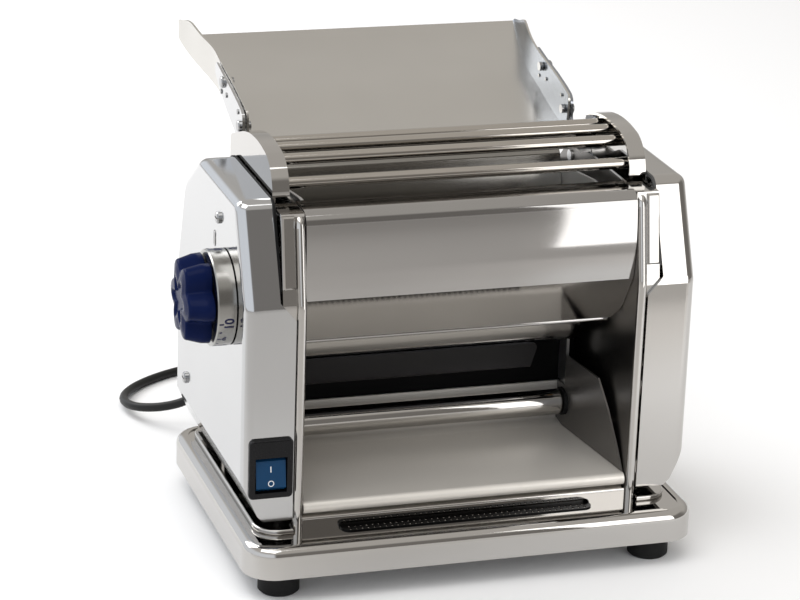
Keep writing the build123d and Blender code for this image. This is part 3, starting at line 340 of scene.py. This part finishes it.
def coil_route():
    """Turns of the coil, three wide and two high, from its right side to its left side."""
    per_turn = 16
    coil_turns = 5.5
    upper_layer_at = 2.8
    change_rate = 3
    turn_radii = [coil_radius + step * 2 * cord_radius for step in (1, 0, -1, -1, 0, 1)]
    points = []
    for i in range(1, int(coil_turns * per_turn) + 1):
        turns = i / per_turn
        whole = int(turns)
        radius = turn_radii[whole]
        if whole:
            ease = min(1.0, (turns - whole) * change_rate)
            radius = turn_radii[whole - 1] * (1 - ease) + radius * ease
        layer = max(0.0, min(1.0, (turns - upper_layer_at) * change_rate))
        height = cord_radius + 2 * cord_radius * layer
        angle = -2 * pi * turns
        radius /= cos(pi / per_turn)
        points.append(coil_middle + Vector((radius * cos(angle), radius * sin(angle), height)))
    return points


def make_lead():
    tail = [place(-0.0334, 0.17835, 3 * cord_radius), place(-0.0334, 0.190, 3 * cord_radius)]
    points = lead_route() + coil_route() + tail
    curve = bpy.data.curves.new("lead", "CURVE")
    curve.dimensions = "3D"
    spline = curve.splines.new("NURBS")
    spline.points.add(len(points) - 1)
    for control, point in zip(spline.points, points):
        control.co = (*point, 1)
    spline.order_u = 3
    spline.use_endpoint_u = True
    spline.resolution_u = 6
    curve.bevel_depth = cord_radius
    curve.bevel_resolution = 4
    lead = bpy.data.objects.new("lead", curve)
    curve.materials.append(cord_black)
    scene.collection.objects.link(lead)
    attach(lead, "machine")
    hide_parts("cord_lead", "cord_coil")


make_lead()


# ---------------------------------------------------------------- marks
collar_low, collar_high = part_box("dial_collar")
collar_radius = (collar_high.z - collar_low.z) / 2
collar_middle = (Vector(collar_low) + Vector(collar_high)) / 2
dial_numbers = 11
dial_step = radians(25)
ten_angle = radians(195)
index_angle = radians(43.5)
index_gap = 0.011
digit_height = 0.0060
print_rise = 0.00012


def mesh_of(name, shape):
    """A new mesh from a shape, which is freed."""
    mesh = bpy.data.meshes.new(name)
    shape.to_mesh(mesh)
    shape.free()
    return mesh


def finish_piece(name, shape, body, material):
    piece = bpy.data.objects.new(name, mesh_of(name, shape))
    piece.data.materials.append(material)
    scene.collection.objects.link(piece)
    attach(piece, body)
    return piece


def flat_ring(shape, middle, radius, steps):
    """Points evenly round a middle, lying flat."""
    turns = [2 * pi * k / steps for k in range(steps)]
    return [shape.verts.new(middle + Vector((radius * cos(turn), radius * sin(turn), 0))) for turn in turns]


def bridge(shape, first, second):
    """Joins two rings of as many points with four-sided faces."""
    for i in range(len(first)):
        after = (i + 1) % len(first)
        shape.faces.new([first[i], first[after], second[after], second[i]])


def close_stack(shape, rings):
    """Joins a stack of rings, closes both ends and turns the normals outwards."""
    for first, second in zip(rings, rings[1:]):
        bridge(shape, first, second)
    shape.faces.new(rings[0])
    shape.faces.new(list(reversed(rings[-1])))
    bmesh.ops.recalc_face_normals(shape, faces=shape.faces)


def number_mesh(text):
    """A number's flat outline, filled, its middle at the origin."""
    curve = bpy.data.curves.new("digits", "FONT")
    curve.body = text
    curve.size = digit_height * 1.4
    curve.offset = 0.00022
    curve.align_x = "CENTER"
    curve.align_y = "CENTER"
    writing = bpy.data.objects.new("digits", curve)
    mesh = bpy.data.meshes.new_from_object(writing)
    bpy.data.objects.remove(writing)
    return mesh


def wrap(shape, angle, edge_x):
    """Lays a flat shape on the collar: its width runs up the round, its height towards the knob."""
    for vertex in shape.verts:
        turn = angle - vertex.co.x / collar_radius
        reach = collar_radius + vertex.co.z
        vertex.co = (edge_x - vertex.co.y, collar_middle.y + reach * cos(turn),
                     collar_middle.z + reach * sin(turn))


def thicken(shape, bottom, top):
    """Gives a flat shape a thickness along its z."""
    faces = shape.faces[:]
    for vertex in shape.verts:
        vertex.co.z = bottom
    raised = bmesh.ops.extrude_face_region(shape, geom=faces)["geom"]
    for item in raised:
        if isinstance(item, bmesh.types.BMVert):
            item.co.z = top
    bmesh.ops.recalc_face_normals(shape, faces=shape.faces)


def bar_shape(width, height):
    shape = bmesh.new()
    corners = [(-width / 2, -height / 2), (width / 2, -height / 2), (width / 2, height / 2),
               (-width / 2, height / 2)]
    shape.faces.new([shape.verts.new((x, y, 0)) for x, y in corners])
    return shape


def join_into(target, shape):
    mesh = mesh_of("part", shape)
    target.from_mesh(mesh)
    bpy.data.meshes.remove(mesh)


def make_dial_marks():
    """Numbers by the collar's inner edge, with a long tick for each and a short one between."""
    marks = bmesh.new()
    number_x = collar_high.x - 0.0042
    tick_x = collar_low.x + 0.0026
    for i in range(dial_numbers):
        angle = ten_angle + i * dial_step
        shape = bmesh.new()
        shape.from_mesh(number_mesh(str(10 - i)))
        thicken(shape, -print_rise, print_rise)
        wrap(shape, angle, number_x)
        join_into(marks, shape)
        for turn, length in ((0, 0.0028), (dial_step / 2, 0.0016)):
            if turn and i == dial_numbers - 1:
                continue
            tick = bar_shape(0.0011, length)
            thicken(tick, -print_rise, print_rise)
            wrap(tick, angle + turn, tick_x)
            join_into(marks, tick)
    finish_piece("dial_numbers", marks, "dial", print_navy)


def rocker_faces():
    """The rocker's upper and lower push faces: middle, normal and upward direction of each."""
    mesh = nodes["switch_rocker"].data
    low, high = (Vector(corner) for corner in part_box("switch_rocker"))
    middle_z = (low.z + high.z) / 2
    found = {}
    for polygon in mesh.polygons:
        if polygon.normal.y > -0.8:
            continue
        side = "upper" if polygon.center.z > middle_z else "lower"
        total, centre, normal = found.get(side, (0.0, Vector(), Vector()))
        found[side] = (total + polygon.area, centre + polygon.center * polygon.area,
                       normal + polygon.normal * polygon.area)
    return {side: (centre / total, normal.normalized()) for side, (total, centre, normal) in found.items()}


def make_switch_marks():
    """A line for on, above, and a ring for off, below."""
    faces = rocker_faces()
    low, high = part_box("switch_rocker")
    middle_x = (low[0] + high[0]) / 2
    marks = bmesh.new()
    for side in ("upper", "lower"):
        centre, normal = faces[side]
        centre.x = middle_x
        up = Vector((1, 0, 0)).cross(normal)
        up = up if up.z > 0 else -up
        across = up.cross(normal)
        centre += up * (0.0004 if side == "upper" else -0.0030)
        if side == "upper":
            shape = bar_shape(0.0006, 0.0038)
        else:
            shape = bmesh.new()
            outer, inner = (flat_ring(shape, Vector(), radius, 32) for radius in (0.0020, 0.0015))
            bridge(shape, outer, inner)
        thicken(shape, -print_rise, print_rise)
        for vertex in shape.verts:
            x, y, z = vertex.co
            vertex.co = centre + across * x + up * y + normal * z
        join_into(marks, shape)
    finish_piece("switch_marks", marks, "rocker", print_white)


knob_lobes = 6
knob_valley = 0.74
knob_front = 0.9
knob_edge = 0.0022


def knob_radius_at(angle, full):
    """Rounded lobes with narrower valleys between them."""
    wave = 0.5 + 0.5 * cos(knob_lobes * angle)
    return full * (knob_valley + (1 - knob_valley) * wave ** 0.7)


def make_knob():
    """The hand knob: lobes that narrow towards a softly rounded, slightly dished face."""
    low, high = (Vector(corner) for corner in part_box("thickness_knob"))
    middle = (low + high) / 2
    full = (high.z - low.z) / 2
    length = high.x - low.x
    steps = 144
    stations = [(high.x, 0.0, 0.35), (high.x, 0.0, 0.97), (high.x - 0.0008, 0.0, 1.0),
                (high.x - 0.35 * length, 0.0, 0.985)]
    for k in range(7):
        part = radians(15 * k)
        stations.append((low.x + knob_edge * (1 - sin(part)) + 0.0012,
                         knob_edge * (1 - cos(part)), knob_front))
    stations += [(low.x + 0.0006, knob_edge + 0.0030, knob_front), (low.x, 0.0085, knob_front),
                 (low.x, 0.0115, knob_front), (low.x + 0.0012, 0.0125, knob_front)]
    shape = bmesh.new()
    rings = []
    for x, inset, share in stations:
        ring = []
        for i in range(steps):
            angle = 2 * pi * i / steps
            reach = share * knob_radius_at(angle, full) - inset
            ring.append(shape.verts.new((x, middle.y + reach * cos(angle), middle.z + reach * sin(angle))))
        rings.append(ring)
    close_stack(shape, rings)
    for face in shape.faces:
        face.smooth = len(face.verts) == 4
    knob = finish_piece("hand_knob", shape, "dial", navy_plastic)
    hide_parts("thickness_knob")


def make_vent_glints():
    """Bright domes in the air strip's two rows of holes: painted glints, standing in for light seen through
    the holes.
    """
    holes = 41
    pitch = 0.004
    rows = (-0.0834, -0.0876)
    foot_radius, top_radius, dome_height = 0.00085, 0.0005, 0.0004
    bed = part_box("vent_grille")[0][2]
    glints = bmesh.new()
    for row in rows:
        for i in range(holes):
            middle = place((i - (holes - 1) / 2) * pitch, row, bed)
            foot = flat_ring(glints, middle, foot_radius, 8)
            top = flat_ring(glints, middle + Vector((0, 0, dome_height)), top_radius, 8)
            bridge(glints, foot, top)
            glints.faces.new(top)
            glints.faces.new(list(reversed(foot)))
    finish_piece("painted_vent_glints", glints, "machine", painted_glint_steel)


def make_index_mark():
    """The pressed index above the dial: a small pill with a groove round it."""
    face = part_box("left_casing")[0][0]
    reach = collar_radius + index_gap
    middle = Vector((face, collar_middle.y + reach * cos(index_angle),
                     collar_middle.z + reach * sin(index_angle)))
    steps = 32
    half_width, half_straight = 0.0022, 0.0034
    # Each ring's share of the full width, and how far it lies behind the casing's face.
    stations = [(1.00, 0.0002), (1.00, -0.00025), (0.86, -0.0004), (0.80, -0.0001), (0.62, -0.0001),
                (0.56, -0.0004), (0.0001, -0.00045)]
    shape = bmesh.new()
    rings = []
    for share, behind in stations:
        ring = []
        for i in range(steps):
            angle = 2 * pi * i / steps
            along = half_width * share * cos(angle)
            straight = half_straight if sin(angle) > 0 else -half_straight
            upward = half_width * share * sin(angle) + straight
            ring.append(shape.verts.new((middle.x + behind, middle.y + along, middle.z + upward)))
        rings.append(ring)
    close_stack(shape, rings)
    finish_piece("index_mark", shape, "machine", screw_steel)


make_knob()
make_index_mark()
make_vent_glints()
make_dial_marks()
make_switch_marks()


# ---------------------------------------------------------------- stage
pale = (0.96, 0.965, 0.975)
# The floor's two greys are painted shade on the near side, in front of the object.
near_painted_shade = (0.82, 0.81, 0.80)
far_painted_shade = (0.68, 0.665, 0.65)
near_slant = 0.25
beside_slant = 0.388
beside_range = (0.055, -0.01)
near_range = (-0.183, -0.26)
dim_range = (-0.27, -0.50)
far_range = (-0.38, -0.56)

room_tone = (0.66, 0.635, 0.60)
low_tone = (0.50, 0.485, 0.46)
front_tone = (0.27, 0.255, 0.24)
window_tone = (1.02, 1.06, 1.12)


def make_floor():
    """Pale paper with painted shade: it turns grey on the near side, in front of the object."""
    shape = bmesh.new()
    bmesh.ops.create_grid(shape, x_segments=1, y_segments=1, size=6)
    mesh = mesh_of("floor", shape)
    floor = bpy.data.objects.new("floor", mesh)
    material, tree, shader = new_material("floor_paper")
    across, along = split_coordinates(tree, "Object")[:2]
    slant = combined(tree, "ADD", along, combined(tree, "MULTIPLY", across, near_slant))
    beside = combined(tree, "ADD", across, combined(tree, "MULTIPLY", along, beside_slant))
    left = ranged_value(tree, beside, *beside_range)
    near = ranged_value(tree, slant, *near_range)
    dim = ranged_value(tree, slant, *dim_range)
    far = ranged_value(tree, along, *far_range)
    colour = mixed(tree, combined(tree, "MULTIPLY", near, left), pale, near_painted_shade)
    colour = mixed(tree, combined(tree, "MULTIPLY", dim, left), colour, far_painted_shade)
    colour = mixed(tree, far, colour, far_painted_shade)
    tree.links.new(colour, shader.inputs["Base Color"])
    shader.inputs["Roughness"].default_value = 0.8
    shader.inputs["Specular IOR Level"].default_value = 0.1
    mesh.materials.append(material)
    scene.collection.objects.link(floor)


def make_world():
    """A grey room: warm light above, a cool window side on the left, darker at eye level in front."""
    world = bpy.data.worlds.new("studio")
    scene.world = world
    world.use_nodes = True
    tree = world.node_tree
    background = tree.nodes["Background"]
    across, along, upward = split_coordinates(tree, "Generated")
    low_front = combined(tree, "MULTIPLY", ranged_value(tree, upward, 0.68, 0.46),
                         ranged_value(tree, along, 0.25, -0.25))
    low_back = ranged_value(tree, upward, 0.45, 0.15)
    window = combined(tree, "MULTIPLY", ranged_value(tree, across, -0.02, -0.25),
                      ranged_value(tree, upward, 0.75, 0.5))
    colour = mixed(tree, low_back, room_tone, low_tone)
    colour = mixed(tree, low_front, colour, front_tone)
    colour = mixed(tree, window, colour, window_tone)
    tree.links.new(colour, background.inputs["Color"])
    background.inputs["Strength"].default_value = 1.0


def area_light(name, at, towards, width, height, watts, colour=(1, 1, 1)):
    data = bpy.data.lights.new(name, "AREA")
    data.shape = "RECTANGLE"
    data.size = width
    data.size_y = height
    data.energy = watts
    data.color = colour
    light = bpy.data.objects.new(name, data)
    direction = Vector(towards) - Vector(at)
    light.matrix_world = Matrix.Translation(at) @ direction.to_track_quat("-Z", "Y").to_matrix().to_4x4()
    scene.collection.objects.link(light)


make_floor()
make_world()
area_light("right_box", (0.385, -0.60, 0.31), (0.385, -0.10, 0.31), 0.27, 0.52, 1.1)
area_light("top_box", (-0.5, -0.6, 1.9), (0, 0, 0), 1.6, 1.2, 13.5)
area_light("back_box", (-0.9, 1.3, 1.3), (0.4, 1.0, 0), 1.4, 1.0, 19)
scene.view_settings.view_transform = "Standard"
